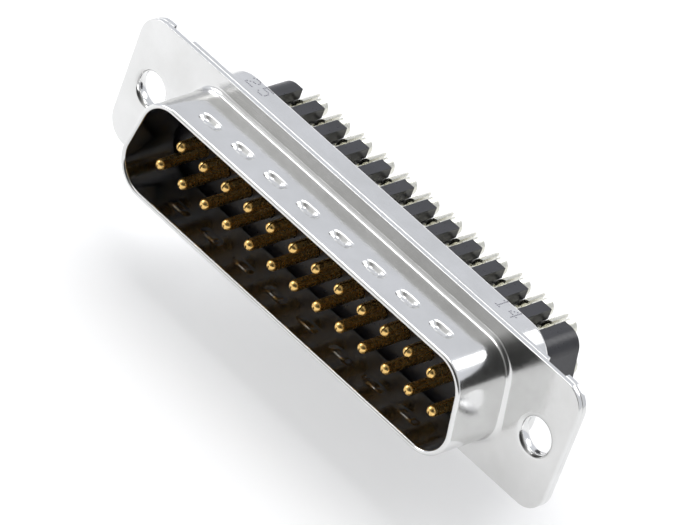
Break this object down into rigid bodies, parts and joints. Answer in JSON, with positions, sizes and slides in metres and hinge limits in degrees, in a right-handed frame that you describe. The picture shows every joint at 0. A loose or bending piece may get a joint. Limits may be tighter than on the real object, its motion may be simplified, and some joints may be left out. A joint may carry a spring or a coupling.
{
  "type": "d-sub connector",
  "caption": "D-shaped plug connector with a dimpled steel shroud round its pins, an oblong fixing flange, a ribbed black insulator and solder cups at the rear.",
  "frame": {"origin": "centre of the flange's front face, midway between the two fixing holes", "axes": "+X along the contact rows, -Y the way the plug mates, +Z towards the narrow side of the D"},
  "size_m": [0.053, 0.0174, 0.0126],
  "materials": {
    "shell": "bright tin plate on drawn sheet",
    "insulator": "semi-gloss moulded black",
    "contact": "gold flash on the pins, pale at the cups"
  },
  "bodies": {
    "root": {"front_shell": "shell", "rear_shell": "shell", "front_insulator": "insulator", "rear_insulator": "insulator", "contact_01": "contact", "contact_02": "contact", "contact_03": "contact", "contact_04": "contact", "contact_05": "contact", "contact_06": "contact", "contact_07": "contact", "contact_08": "contact", "contact_09": "contact", "contact_10": "contact", "contact_11": "contact", "contact_12": "contact", "contact_13": "contact", "contact_14": "contact", "contact_15": "contact", "contact_16": "contact", "contact_17": "contact", "contact_18": "contact", "contact_19": "contact", "contact_20": "contact", "contact_21": "contact", "contact_22": "contact", "contact_23": "contact", "contact_24": "contact", "contact_25": "contact"}
  },
  "joints": []
}
